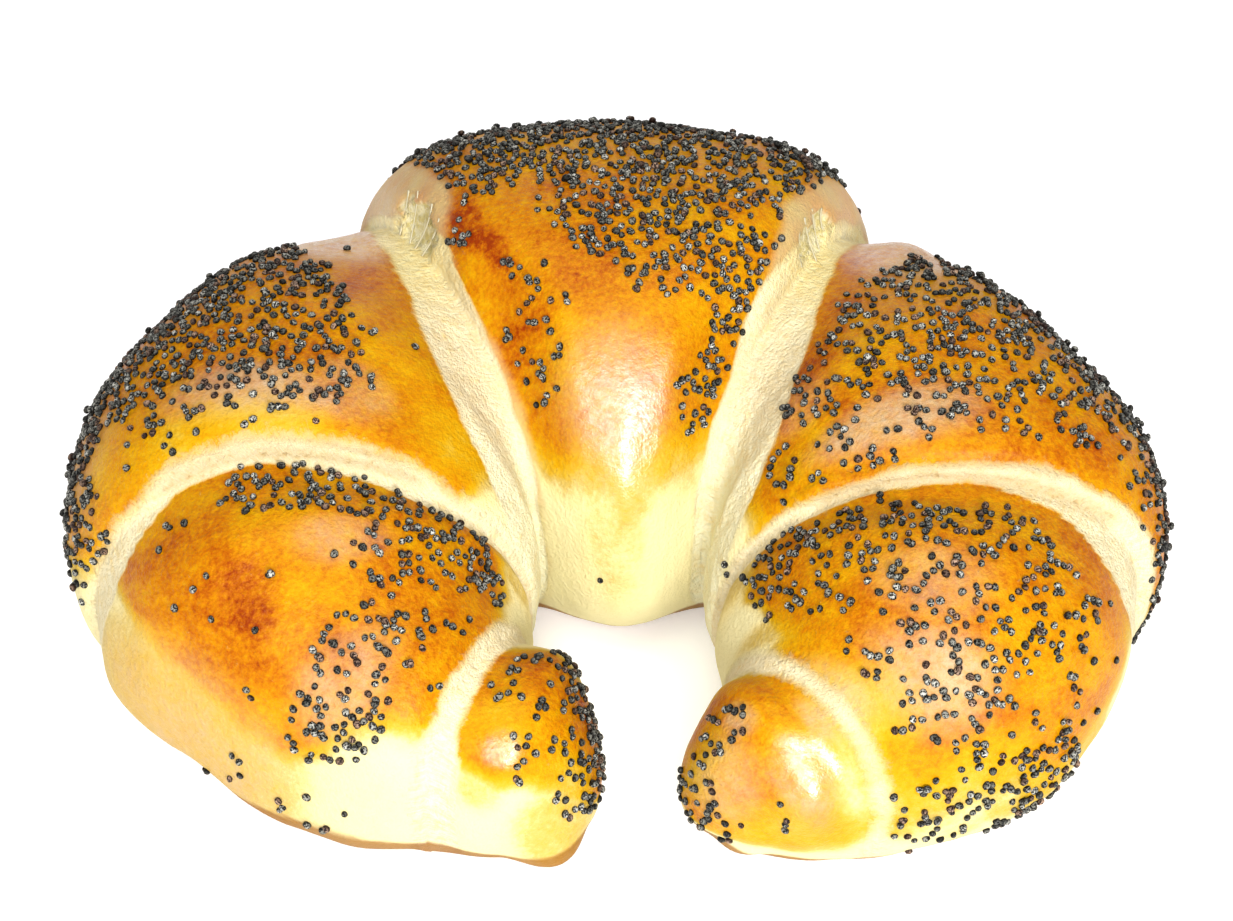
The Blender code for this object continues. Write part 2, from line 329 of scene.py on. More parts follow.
# ---- the poppy seeds
# Patches of seeds, with a steeper end: seeds on a square centimetre.
SEED_PATCHES = (
    (7, 26, 0.92, 34, 120),
    (7, 62, 0.9, 20, 122),
    (6.3, 76, 0.16, 9, 110),
    (6.92, 88, 0.28, 13, 112),
    (7.4, 94, 0.46, 16, 106),
    (6.62, 84, 0.1, 8, 40),
    (6.38, 121, 0.2, 19, 34),
    (6.41, 131, 0.09, 6, 70),
    (6.12, 90, 0.05, 8, 40),
    (7.74, 112, 0.13, 14, 95),
    (7.66, 132, 0.16, 12, 66),
    (7.84, 140, 0.06, 8, 40),
    (4.96, 38, 0.6, 34, 112),
    (4.92, 70, 0.5, 22, 84),
    (4.7, 88, 0.44, 14, 66),
    (4.62, 105, 0.12, 7, 16),
    (4.38, 76, 0.14, 22, 66),
    (4.2, 18, 0.28, 16, 84),
    (4.2, 74, 0.12, 24, 18),
    (4.12, 52, 0.08, 8, 18),
    (3.74, 92, 0.24, 18, 80),
    (3.4, 122, 0.46, 20, 70),
    (3.18, 106, 0.4, 14, 48),
    (2.62, 128, 0.32, 20, 48),
    (2.8, 92, 0.32, 12, 44),
    (2.48, 70, 0.24, 18, 50),
    (2.44, 42, 0.2, 24, 76),
    (2.2, 92, 0.08, 10, 30),
    (3.4, 50, 0.45, 22, 4),
    (2.66, 4, 0.4, 12, 5),
    (0.35, 70, 0.4, 70, 60),
    (0.7, 112, 0.5, 30, 74),
    (0.95, 80, 0.35, 45, 34),
    (1.25, 92, 0.35, 16, 26),
    (1.62, 68, 0.2, 14, 9),
    (0.5, 24, 0.35, 16, 18),
    (8.98, 60, 0.62, 50, 84),
    (9.04, 112, 0.46, 12, 64),
    (9.06, 128, 0.34, 10, 44),
    (9.64, 80, 0.16, 40, 46),
    (9.7, 128, 0.16, 10, 36),
    (9.84, 106, 0.08, 6, 80),
    (9.1, 146, 0.2, 8, 12),
    (9.86, 8, 0.34, 30, 78),
    (10.34, 124, 0.26, 26, 74),
    (10.76, 132, 0.3, 18, 66),
    (10.84, 108, 0.3, 12, 50),
    (10.6, 80, 0.42, 22, 42),
    (11.1, 92, 0.3, 20, 42),
    (11.38, 40, 0.3, 22, 40),
    (10.7, 48, 0.3, 16, 40),
    (11.14, 62, 0.26, 24, 50),
    (11.24, 122, 0.26, 24, 46),
    (11.56, 66, 0.26, 26, 30),
    (10.86, 18, 0.18, 10, 24),
    (11.52, 8, 0.26, 20, 44),
    (11.12, -2, 0.26, 16, 54),
    (11.82, 2, 0.14, 18, 30),
    (13.3, 75, 0.42, 16, 36),
    (13.74, 40, 0.3, 60, 60),
    (13.45, -8, 0.27, 14, 40),
    (12.82, 20, 0.06, 5, 30),
    (12.85, 5, 0.05, 5, 30),
)
SEED_PATCH_REACH = 1.12
SEED_PATCH_FADE = 0.26
STRAY_SEEDS_PER_CM2 = 0.35
MM2_PER_CM2 = 100
SEED_NOISE = ((0.5, 6, 19), (0.35, 2.6, 20))
LOWEST_SEED = 1.2
BAND_BARENESS = 0.95
LEAST_GLAZE = 0.4
SEED_RANDOM = 17
SEED_SPACING = 0.70

# Seeds in a clump lie a step of some spacings apart, and a few seeds lie on top of another.
CLUMP_MEAN = 1.25
LARGEST_CLUMP = 6
CLUMP_STEPS = (1.02, 1.45)
SMALLEST_CELL = 0.2
STACKED_SHARE = 0.07
STACK_NOISE = ((2, 2.6, 20),)
STACK_LIFT = 1.35
STACK_STEP = 0.8

SEED_HALF_SIZES = (0.49, 0.42, 0.35)
SEED_SIZE_RANGE = (0.86, 1.12)
SEED_LIFT_SHARES = (0.15, 0.65)
SEED_TILT = 0.24
SEED_BEND = 0.08
SEED_SEGMENTS = 8
SEED_RINGS = 6

# ---- light and camera
# Levels of light on the crust, its pale flanks and its creases. The pale flanks and torn bands get
# the lower levels, so their colours are paler: painted light against the shade they lie in.
LIGHT_LEVEL = 1.94
PALE_LIGHT_LEVEL = 1.52
TORN_LIGHT_LEVEL = 1.42
LIGHTEST_SURFACE = 0.92

# Name, distance, elevation, azimuth, width, height, watts.
LIGHTS = (
    ("softbox", 700, 36, 3, 780, 420, 5.8),
    ("flash", 700, 24, 14, 180, 180, 3.2),
    ("overhead", 900, 84, 0, 800, 500, 3),
    ("wall", 1100, 20, 180, 900, 900, 3),
)
LIGHTS_AIM = (0, 0, 15)
ROOM_STRENGTH = 0.42
FLOOR_GLOW = 0.18
FLOOR_HALF_SIZE = 3000

CAMERA_DISTANCE = 380
CAMERA_ELEVATION = math.radians(46)
CAMERA_TILT_UP = math.radians(2.79)
CAMERA_LENS = 94.3
CAMERA_SENSOR = 36


# ---- form functions
def ease(share):
    """Smooth step from 0 to 1."""
    share = np.clip(share, 0, 1)
    return share * share * (3 - 2 * share)


def section_at(station):
    """The sections, joined by a Catmull-Rom curve and read at a fractional section number."""
    rows = np.array(SECTIONS)
    last = len(rows) - 1
    station = np.clip(station, 0, last - 1e-9)
    row = np.floor(station).astype(int)
    step = (station - row)[..., None]
    before, start, end, after = (rows[np.clip(row + shift, 0, last)] for shift in (-1, 0, 1, 2))
    slope = (end - before) * step
    bend = (2 * before - 5 * start + 4 * end - after) * step ** 2
    twist = (3 * start - before - 3 * end + after) * step ** 3
    return start + 0.5 * (slope + bend + twist)


def section_outline(angle, half_width, height):
    """A rounded section with a flat base: distance outwards from its middle, and height."""
    across = np.cos(angle)
    up = np.sin(angle)
    upper = up >= 0
    power = np.where(upper, 2 / UPPER_ROUNDNESS, 2 / LOWER_ROUNDNESS)
    equator = EQUATOR_SHARE * height
    outwards = half_width * np.sign(across) * np.abs(across) ** power
    reach = np.where(upper, height - equator, BASE_CUT * equator)
    upwards = equator + reach * np.sign(up) * np.abs(up) ** power
    return outwards, np.maximum(upwards, 0)


def lobe_profile(station, angle):
    """The lobe at a place, and how far its crown has risen there, from 0 to 1."""
    lobe = np.clip((station // SECTIONS_PER_LOBE).astype(int), 0, LOBES - 1)
    share = station / SECTIONS_PER_LOBE - lobe
    towards_middle = np.where(lobe < MIDDLE_LOBE, 1 - share, share)
    edge_width = np.array(EDGE_SHARES)[lobe]
    ramp_width = np.array(RAMP_SHARES)[lobe]

    def rounded_edge(distance):
        return np.sqrt(1 - (1 - np.clip(distance / edge_width, 0, 1)) ** 2)

    ramp = ease(towards_middle / ramp_width)
    outer_edge = rounded_edge(1 - towards_middle)
    side_lobe = ramp * np.where((lobe == 0) | (lobe == LOBES - 1), 1, outer_edge)
    sharp = rounded_edge(share) * rounded_edge(1 - share)
    soft = ease(share / SOFT_EDGE_SHARE) * ease((1 - share) / SOFT_EDGE_SHARE)
    softness = ease((np.degrees(angle) - SOFT_FROM) / SOFT_OVER)
    middle_lobe = sharp + (soft - sharp) * softness
    return lobe, np.where(lobe == MIDDLE_LOBE, middle_lobe, side_lobe)


def strayed(station, angle):
    """Stations moved along the roll where an edge of a turn strays from its section."""
    for edge, reach, shifts in EDGE_SHIFTS:
        shift = at_angles(np.degrees(angle), shifts)
        station = station + shift * ease(1 - np.abs(station - edge) / reach)
    return station


def surface_point(station, angle):
    """Points of the dough's smooth surface in millimetres."""
    section = section_at(strayed(station, angle))
    inner = section[..., 0:2]
    outer = section[..., 2:4]
    height = section[..., 4]
    width_vector = outer - inner
    width = lengths(width_vector)
    half_width = width / 2
    nose = np.clip(np.minimum(station, len(SECTIONS) - 1 - station) / NOSE_LENGTH, 0, 1)
    nose_scale = np.sqrt(1 - (1 - nose) ** 2)

    outwards, upwards = section_outline(angle, half_width, height)
    equator = EQUATOR_SHARE * height
    normal_out = outwards / half_width ** 2
    normal_up = (upwards - equator) / (height - equator) ** 2
    normal_length = np.hypot(normal_out, normal_up) + 1e-9

    lobe, rise = lobe_profile(station, angle)
    outside_share = INNER_CROWN_SHARE + (1 - INNER_CROWN_SHARE) * ease(np.cos(angle) + CROWN_TURN)
    crown = np.array(LOBE_CROWNS)[lobe] * rise * outside_share
    swell = crown * ease(upwards / (CROWN_FOOT_SHARE * height)) * nose_scale

    lean = OUTWARD_LEAN * half_width * ease(upwards / height)
    outwards = (outwards + lean) * nose_scale + swell * normal_out / normal_length
    upwards = equator + (upwards - equator) * nose_scale + swell * normal_up / normal_length
    plan = (inner + outer) / 2 + width_vector / width[..., None] * outwards[..., None]
    plan = plan - np.array(PLAN_CENTRE)
    return np.concatenate([plan, np.maximum(upwards, 0)[..., None]], axis=-1)


def smooth_noise(points, size, seed):
    """Perlin noise, about -1 to 1, in lumps of about a given size in millimetres."""
    shift = Vector((seed * 17.3, seed * 5.1, seed * 9.7))
    flat = points.reshape(-1, 3) / size
    values = [noise.noise(Vector(point) + shift) for point in flat.tolist()]
    return np.array(values).reshape(points.shape[:-1])


def add_noise(points, layers, total=0):
    """A total with layers of noise added, each of an amount, a size of lump and a seed."""
    for amount, size, seed in layers:
        total = total + amount * smooth_noise(points, size, seed)
    return total


def lengths(vectors):
    """The length of each vector."""
    return np.linalg.norm(vectors, axis=-1)


def unit(vectors):
    """The same directions with length 1."""
    return vectors / (lengths(vectors)[..., None] + 1e-12)


def at_angles(degrees, pairs):
    """A value at some angles, from a few pairs of angle and value."""
    return np.interp(degrees, *zip(*pairs))


# ---- the dough's grid
def ring_stations():
    """Stations of the grid's rings, even along the crust, with one on each edge of a turn."""
    watched = np.radians(WATCHED_DEGREES)
    stations = []
    for lobe in range(LOBES):
        start = SECTIONS_PER_LOBE * lobe
        fine = np.linspace(start, start + SECTIONS_PER_LOBE - 1e-6, FINE_STATIONS)
        points = surface_point(*np.meshgrid(fine, watched, indexing="ij"))
        steps = lengths(np.diff(points, axis=0)).mean(axis=1)
        travelled = np.concatenate([[0], np.cumsum(steps)])
        count = int(round(travelled[-1] / RING_SPACING))
        stations.append(np.interp(np.arange(count) / count * travelled[-1], travelled, fine))
    return np.concatenate(stations)[1:]


class Grid:
    """The dough's fine grid: places, points, directions and distances on the crust."""

    def __init__(self):
        rings = ring_stations()
        turns = 2 * np.pi * np.arange(POINTS_PER_RING) / POINTS_PER_RING
        self.station, angle = np.meshgrid(rings, turns, indexing="ij")
        degrees = np.degrees(angle)
        self.degrees = np.where(degrees > 270, degrees - 360, degrees)
        self.points = surface_point(self.station, angle)
        along = np.gradient(self.points, axis=0)
        around = np.roll(self.points, -1, axis=1) - np.roll(self.points, 1, axis=1)
        self.normal = unit(np.cross(around, along))
        self.along = unit(along)
        steps = lengths(np.diff(self.points, axis=0))
        start = np.zeros((1, POINTS_PER_RING))
        self.travelled = np.concatenate([start, np.cumsum(steps, axis=0)])
        under = 3 * POINTS_PER_RING // 4
        opened = np.roll(self.points, -under, axis=1)
        steps = lengths(np.diff(opened, axis=1, prepend=opened[:, :1]))
        self.around = np.roll(np.cumsum(steps, axis=1), under, axis=1)

    def row(self, station):
        """The ring nearest to a station."""
        return int(np.argmin(np.abs(self.station[:, 0] - station)))

    def column(self, degrees):
        """The point on a ring nearest to an angle."""
        return int(round(degrees / 360 * POINTS_PER_RING)) % POINTS_PER_RING

    def row_above_edge(self, edge, column, distance):
        """The ring at a distance above an edge of a turn, along one column."""
        return int(np.argmin(np.abs(self.below_edge(edge)[:, column] + distance)))

    def below_edge(self, edge):
        """Millimetres from an edge of a turn towards the next turn out, negative above the edge."""
        distance = self.travelled - self.travelled[self.row(edge)]
        return distance if edge > MIDDLE_STATION else -distance

    def beside(self, edge):
        """Whether each point lies less than one section from an edge of a turn."""
        return np.abs(self.station - edge) < 1

    def streaks(self, length, width, slant, seed):
        """Noise drawn out along the roll, for the fibres of the torn dough."""
        across = self.around - slant * self.travelled
        drawn = np.stack([self.travelled / length, across / width, np.zeros_like(across)], axis=-1)
        return smooth_noise(drawn, 1, seed)


def patch(grid, station, degrees, along, around):
    """1 in the middle of a soft patch, down to 0 at its reach along and round the roll."""
    share = np.hypot((grid.station - station) / along, (grid.degrees - degrees) / around)
    return ease(1 - share)


def add_patches(grid, patches, total):
    """A total with soft patches added, each of its own height."""
    for station, degrees, along, around, height in patches:
        total = total + height * patch(grid, station, degrees, along, around)
    return total


def strongest_patch(grid, patches, fullness, amount=0):
    """The strongest of some patches at each point. The fuller they are, the flatter they end."""
    for station, degrees, along, around, share in patches:
        full = ease(fullness * patch(grid, station, degrees, along, around))
        amount = np.maximum(amount, share * full)
    return amount


def between(degrees, first, last):
    """1 between two angles, with soft ends."""
    starts = ease((degrees - first) / ENDS_FADE_DEGREES + 0.5)
    return starts * ease((last - degrees) / ENDS_FADE_DEGREES + 0.5)


def band_amount(grid):
    """1 in the torn cream bands, 0 on the crust between them."""
    fibres = grid.streaks(*BAND_FIBRES)
    wander = add_noise(grid.points, BAND_WANDER)
    amount = 0
    for edge, climbs, climb_fade, reaches, reach_fade in BANDS:
        climb = at_angles(grid.degrees, climbs)
        down = at_angles(grid.degrees, reaches)
        distance = grid.below_edge(edge)
        feather = wander + FIBRES_IN_EDGE * reach_fade * fibres
        upper = ease((distance + climb + wander * min(climb_fade, 1)) / climb_fade + 0.5)
        lower = ease((down + feather * min(reach_fade, 1) - distance) / reach_fade + 0.5)
        amount = np.maximum(amount, upper * lower)
    return amount


def tone_amount(grid):
    """How brown the crust is where it isn't torn, from 0 for cream to 1 for red-brown."""
    stations, *columns = np.array(GOLD_RANGE).T
    outside, inside, fade = (np.interp(grid.station, stations, column) for column in columns)
    wander = add_noise(grid.points, GOLD_WANDER)
    from_outside = ease((grid.degrees - outside + wander) / fade + 0.5)
    from_inside = ease((inside - grid.degrees + wander) / fade + 0.5)
    tone = add_patches(grid, TONE_PATCHES, GOLD_TONE) + add_noise(grid.points, TONE_NOISE)
    tone = np.clip(tone * from_outside * from_inside, 0, 1)
    return strongest_patch(grid, TINTS, TINT_FULLNESS, tone)


def painted_sheen_amount(grid):
    """How much painted sheen the crust gets, broken up a little."""
    amount = strongest_patch(grid, PAINTED_SHEENS, PAINTED_SHEEN_FULLNESS)
    return np.clip(amount * add_noise(grid.points, PAINTED_SHEEN_NOISE, 1), 0, 1)


def wall_amount(grid):
    """1 on the pale walls of the middle lobe."""
    amount = 0
    wander = add_noise(grid.points, WALL_WANDER)
    for edge, heights in WALLS:
        above = -grid.below_edge(edge)
        low_enough = ease((at_angles(grid.degrees, heights) - above + wander) / WALL_FADE)
        amount = np.maximum(amount, grid.beside(edge) * (above > 0) * low_enough)
    return amount


def pocket_amount(grid):
    """1 deep in the torn pockets, with a ragged outline, and the shift that sinks them."""
    amount = 0
    shift = 0
    ragged = add_noise(grid.points, POCKET_NOISE)
    for edge, degrees, above, along, around, deepest in POCKETS:
        column = grid.column(degrees)
        centre = grid.row_above_edge(edge, column, above)
        offset_along = (grid.below_edge(edge) + above) / along
        offset_around = (grid.around - grid.around[:, column:column + 1]) / around
        share = 1 - np.hypot(offset_along, offset_around) + ragged
        inside = grid.beside(edge) * ease(share / POCKET_FADE)
        amount = np.maximum(amount, inside)
        shift -= inside[..., None] * deepest * grid.normal[centre, column]
    return amount, shift


def groove_amount(grid):
    """1 along the foot of each edge of a turn, where the torn dough is cracked and darkened with
    painted shade, 0 away from it.
    """
    amount = 0
    wander = add_noise(grid.points, GROOVE_WANDER)
    for edge, first, last, offset, width, share in GROOVES:
        line = share * np.exp(-((grid.below_edge(edge) - offset + wander) / width) ** 2)
        amount = np.maximum(amount, line * between(grid.degrees, first, last))
    return amount


def layer_height(grid):
    """Flaky layers standing proud in the bands, in millimetres."""
    height = 0
    wander = add_noise(grid.points, LAYER_WANDER)
    for edge, first, last, offset, width, tallest in LAYERS:
        share = np.abs(grid.below_edge(edge) - offset + wander) / width
        ridge = tallest * np.sqrt(np.clip(1 - share, 0, 1))
        height += ridge * between(grid.degrees, first, last)
    return height


def fill_height(grid):
    """Dough that makes the foot of some edges shallower, in millimetres."""
    height = 0
    for edge, tallest, reach in FILLS:
        height += tallest * np.exp(-(grid.below_edge(edge) / reach) ** 2)
    return height


def near_middle(grid, start, over, span):
    """1 beyond an angle and within a span of the middle station, 0 elsewhere."""
    return ease((grid.degrees - start) / over) * (np.abs(grid.station - MIDDLE_STATION) < span)


def blur_edges(grid, points):
    """The points with the step at the softest edges blurred along the roll."""
    for edge, reach, passes in BLURRED_EDGES:
        share = np.exp(-(grid.below_edge(edge) / reach) ** 2)[..., None]
        for _ in range(passes):
            blurred = points.copy()
            blurred[1:-1] = 0.25 * points[:-2] + 0.5 * points[1:-1] + 0.25 * points[2:]
            points = points + share * (blurred - points)
    return points


def dress_grid(grid):
    """Moves the grid's points to the uneven crust, and gives what the crust's material reads."""
    band = band_amount(grid)
    tone = tone_amount(grid)
    pocket, pocket_shift = pocket_amount(grid)
    groove = groove_amount(grid)
    wrinkles = add_noise(grid.points, TORN_NOISE, TORN_FIBRE_HEIGHT * grid.streaks(*TORN_FIBRES))
    relief = add_noise(grid.points, CRUST_NOISE) + band * (wrinkles - TORN_DEPTH)
    relief = relief + layer_height(grid) + fill_height(grid) - GROOVE_DEPTH * groove
    relief = add_patches(grid, SWELLS, relief)
    off_the_floor = ease(grid.points[..., 2] / FLOOR_FADE)
    points = grid.points + grid.normal * (relief * off_the_floor)[..., None] + pocket_shift
    points[..., 2] = np.maximum(points[..., 2], 0)
    points = blur_edges(grid, points)
    rim_top = np.interp(grid.station, *np.array(RIM_HEIGHTS).T)
    rim_top = rim_top + add_noise(grid.points, RIM_WANDER)
    grid.points = points
    return {
        "tone": tone * (1 - TONE_LOST_IN_BAND * band),
        "band": band,
        "pocket": pocket,
        "wall": wall_amount(grid),
        "groove": groove,
        "rim": ease((rim_top - points[..., 2]) / RIM_FADE),
        "warm": near_middle(grid, *WARM_CREAM),
        "fold": near_middle(grid, *PALE_FOLDS),
        "gloss": strongest_patch(grid, GLOSS_PATCHES, GLOSS_FULLNESS),
        "painted_sheen": painted_sheen_amount(grid),
        "along": grid.travelled,
        "around": grid.around,
    }


# ---- the dough
def add_attribute(mesh, name, values):
    """One number for each vertex, for the materials to read."""
    attribute = mesh.attributes.new(name, "FLOAT", "POINT")
    attribute.data.foreach_set("value", np.asarray(values, dtype=np.float32).ravel())


def add_object(name, vertices, faces):
    """An object with a smooth mesh, from vertices in millimetres."""
    mesh = bpy.data.meshes.new(name)
    mesh.from_pydata((np.asarray(vertices) * MM).tolist(), [], faces)
    mesh.update()
    mesh.shade_smooth()
    thing = bpy.data.objects.new(name, mesh)
    bpy.context.scene.collection.objects.link(thing)
    return thing


def ring_faces(rings, around, start=0):
    """Quads between rings of points from a first vertex on, facing outwards."""
    first = start + np.arange(rings - 1)[:, None] * around
    index = np.arange(around)[None, :]
    after = (index + 1) % around
    corners = (first + index, first + after, first + around + after, first + around + index)
    return np.stack(corners, axis=-1).reshape(-1, 4).tolist()


def make_dough(grid, amounts):
    """The dough, closed at the horns' tips, with the amounts on its vertices."""
    rings, around = grid.station.shape
    tips = surface_point(np.array([0, len(SECTIONS) - 1]), np.array([0, 0]))
    faces = ring_faces(rings, around)
    start = rings * around
    end = start + 1
    last = start - around
    for index in range(around):
        after = (index + 1) % around
        faces.append((start, after, index))
        faces.append((end, last + index, last + after))
    dough = add_object("dough", np.concatenate([grid.points.reshape(-1, 3), tips]), faces)
    for name, values in amounts.items():
        add_attribute(dough.data, name, np.concatenate([values.ravel(), values[[0, -1], 0]]))
    return dough


def make_threads(grid, smooth_points, draw):
    """Strands of crumb that still bridge the torn pockets, as one mesh of thin bent tubes."""
    vertices = []
    faces = []
    turns = np.linspace(0, 2 * np.pi, THREAD_SIDES, endpoint=False)
    for edge, degrees, above, along, around, _ in POCKETS:
        column = grid.column(degrees)
        row = grid.row_above_edge(edge, column, above)
        centre = smooth_points[row, column]
        normal = grid.normal[row, column]
        side = grid.along[row, column]
        up = np.cross(normal, side)
        places = np.linspace(-THREADS_SPREAD, THREADS_SPREAD, THREADS_PER_POCKET)
        for place in places + draw.normal(0, THREADS_JITTER, THREADS_PER_POCKET):
            reach = along * math.sqrt(1 - 0.8 * place ** 2) * THREAD_REACH
            middle = centre + up * place * around
            lean = draw.uniform(-THREAD_LEAN, THREAD_LEAN)
            bow = draw.uniform(-THREAD_BOW, THREAD_BOW)
            depth = draw.uniform(*THREAD_DEPTHS)
            thick = draw.uniform(*THREAD_RADII)
            first = len(vertices)
            for share in np.linspace(-1, 1, THREAD_RINGS):
                sunk = depth - THREAD_RISE * share ** 2
                rise = lean * share + bow * (1 - share ** 2)
                spine = middle + side * share * reach + up * rise - normal * sunk
                radius = thick * (0.8 + 0.5 * abs(share)) * draw.uniform(0.7, 1.3)
                ring = [up * math.cos(turn) + 0.6 * normal * math.sin(turn) for turn in turns]
                vertices += [spine + radius * direction for direction in ring]
            last = first + (THREAD_RINGS - 1) * THREAD_SIDES
            faces += ring_faces(THREAD_RINGS, THREAD_SIDES, first)
            faces.append([first + index for index in reversed(range(THREAD_SIDES))])
            faces.append([last + index for index in range(THREAD_SIDES)])
    return add_object("crumb_threads", vertices, faces)


# ---- the seeds
def seed_shape():
    """One kidney-shaped seed lying flat: vertices, faces, and how high each vertex is, 0 to 1."""
    slopes = [math.pi * ring / SEED_RINGS for ring in range(1, SEED_RINGS)]
    turns = [2 * math.pi * segment / SEED_SEGMENTS for segment in range(SEED_SEGMENTS)]
    sides = [
        (math.sin(slope) * math.cos(turn), math.sin(slope) * math.sin(turn), math.cos(slope))
        for slope, turn in itertools.product(slopes, turns)
    ]
    sphere = np.array([(0, 0, 1), *sides, (0, 0, -1)])
    shape = sphere * np.array(SEED_HALF_SIZES)
    shape[:, 1] += SEED_BEND * (0.5 - sphere[:, 0] ** 2)
    faces = []
    bottom = 1 + (SEED_RINGS - 2) * SEED_SEGMENTS
    for segment in range(SEED_SEGMENTS):
        after = (segment + 1) % SEED_SEGMENTS
        faces.append((0, 1 + segment, 1 + after))
        faces.append((len(sphere) - 1, bottom + after, bottom + segment))
        for top in range(1, bottom, SEED_SEGMENTS):
            below = top + SEED_SEGMENTS
            faces.append((top + segment, below + segment, below + after, top + after))
    return shape, faces, 0.5 + 0.5 * sphere[:, 2]


def seed_density(grid):
    """Seeds on a square centimetre, the densest patch at each point counting."""
    density = np.full_like(grid.station, STRAY_SEEDS_PER_CM2)
    for station, degrees, along, around, seeds in SEED_PATCHES:
        share_along = np.abs(grid.station - station) / along
        share_around = np.abs(grid.degrees - degrees) / around
        distance = (share_along ** 4 + share_around ** 4) ** 0.25
        inside = ease((SEED_PATCH_REACH - distance) / SEED_PATCH_FADE)
        density = np.maximum(density, seeds * inside)
    return density


def far_enough(place, taken):
    """Whether a place keeps the seeds' spacing from those taken so far, which it then joins."""
    cell = tuple(math.floor(value / SEED_SPACING) for value in place)
    for shifts in itertools.product((-1, 0, 1), repeat=3):
        near = tuple(number + shift for number, shift in zip(cell, shifts))
        if any(math.dist(place, other) < SEED_SPACING for other in taken.get(near, ())):
            return False
    taken.setdefault(cell, []).append(place)
    return True


def crust_place(points, ring, column):
    """A point of the crust at a fractional ring and column of the grid."""
    row = int(ring)
    first = int(column) % POINTS_PER_RING
    after = (first + 1) % POINTS_PER_RING
    down = ring - row
    across = column - math.floor(column)
    start = points[row, first] * (1 - across) + points[row, after] * across
    end = points[row + 1, first] * (1 - across) + points[row + 1, after] * across
    return start * (1 - down) + end * down


def scatter_seeds(grid, amounts, draw):
    """Places and normals of all seeds: clumps drawn by density, whose seeds touch but keep apart."""
    points = grid.points
    to_ring = np.concatenate([points[1:], points[-1:] * 2 - points[-2:-1]]) - points
    to_column = np.roll(points, -1, axis=1) - points
    ring_step = lengths(to_ring)
    column_step = lengths(to_column)
    normal = unit(np.cross(to_column, to_ring))
    uneven = np.exp(add_noise(points, SEED_NOISE))
    glazed = (1 - BAND_BARENESS * amounts["band"]) * (1 - amounts["pocket"])
    glazed = glazed * (1 - amounts["wall"])
    expected = seed_density(grid) * ring_step * column_step / MM2_PER_CM2 * uneven * glazed
    expected = np.where(points[..., 2] > LOWEST_SEED, expected, 0)
    wanted = int(expected.sum())
    cells = draw.choice(expected.size, size=wanted, p=(expected / expected.sum()).ravel())
    last_ring = len(points) - 2
    taken = {}
    places = []
    normals = []
    for cell in cells:
        if len(places) >= wanted:
            break
        clump = [tuple(share + draw.random() for share in divmod(int(cell), POINTS_PER_RING))]
        size = min(int(draw.geometric(1 / CLUMP_MEAN)), LARGEST_CLUMP)
        for number in range(size):
            ring, column = clump[0]
            if number:
                ring, column = clump[draw.integers(len(clump))]
                turn = draw.uniform(0, 2 * math.pi)
                step = SEED_SPACING * draw.uniform(*CLUMP_STEPS)
                at = (min(int(ring), last_ring), int(column) % POINTS_PER_RING)
                ring += step * math.cos(turn) / max(ring_step[at], SMALLEST_CELL)
                column += step * math.sin(turn) / max(column_step[at], SMALLEST_CELL)
            ring = min(max(ring, 0), last_ring + 0.999)
            at = (int(ring), int(column) % POINTS_PER_RING)
            place = crust_place(points, ring, column)
            if glazed[at] > LEAST_GLAZE and far_enough(tuple(place), taken):
                clump.append((ring, column))
                places.append(place)
                normals.append(normal[at])
    places = np.array(places)
    normals = np.array(normals)

    likely = STACKED_SHARE * np.exp(add_noise(places, STACK_NOISE))
    stacked = draw.random(len(places)) < likely
    step = unit(np.cross(normals, draw.normal(0, 1, (len(places), 3))))
    lifted = places + normals * STACK_LIFT * SEED_HALF_SIZES[2] + step * STACK_STEP * SEED_HALF_SIZES[1]
    return np.concatenate([places, lifted[stacked]]), np.concatenate([normals, normals[stacked]])


def make_seed_piece(name, places, normals, draw):
    """Many seeds as one joined mesh, each turned and tilted its own way and a little sunk."""
    shape, faces, heights = seed_shape()
    count = len(places)
    spin = draw.uniform(0, 2 * math.pi, (count, 1))
    size = draw.uniform(*SEED_SIZE_RANGE, (count, 1, 1))
    up = unit(normals + draw.normal(0, SEED_TILT, (count, 3)))
    guide = np.where(np.abs(up[:, 2:3]) < 0.9, [[0, 0, 1]], [[1, 0, 0]])
    first = unit(np.cross(guide, up))
    second = np.cross(up, first)
    axis_x = np.cos(spin) * first + np.sin(spin) * second
    axis_y = np.cross(up, axis_x)
    centres = places + normals * (SEED_HALF_SIZES[2] * draw.uniform(*SEED_LIFT_SHARES, (count, 1)))
    turned = (
        shape[None, :, 0:1] * axis_x[:, None, :]
        + shape[None, :, 1:2] * axis_y[:, None, :]
        + shape[None, :, 2:3] * up[:, None, :]
    )
    vertices = (centres[:, None, :] + turned * size).reshape(-1, 3)
    all_faces = []
    for number in range(count):
        base = number * len(shape)
        all_faces += [tuple(base + index for index in face) for face in faces]
    piece = add_object(name, vertices, all_faces)
    add_attribute(piece.data, "shade", np.repeat(draw.random(count), len(shape)))
    add_attribute(piece.data, "height", np.tile(heights, count))
    return piece


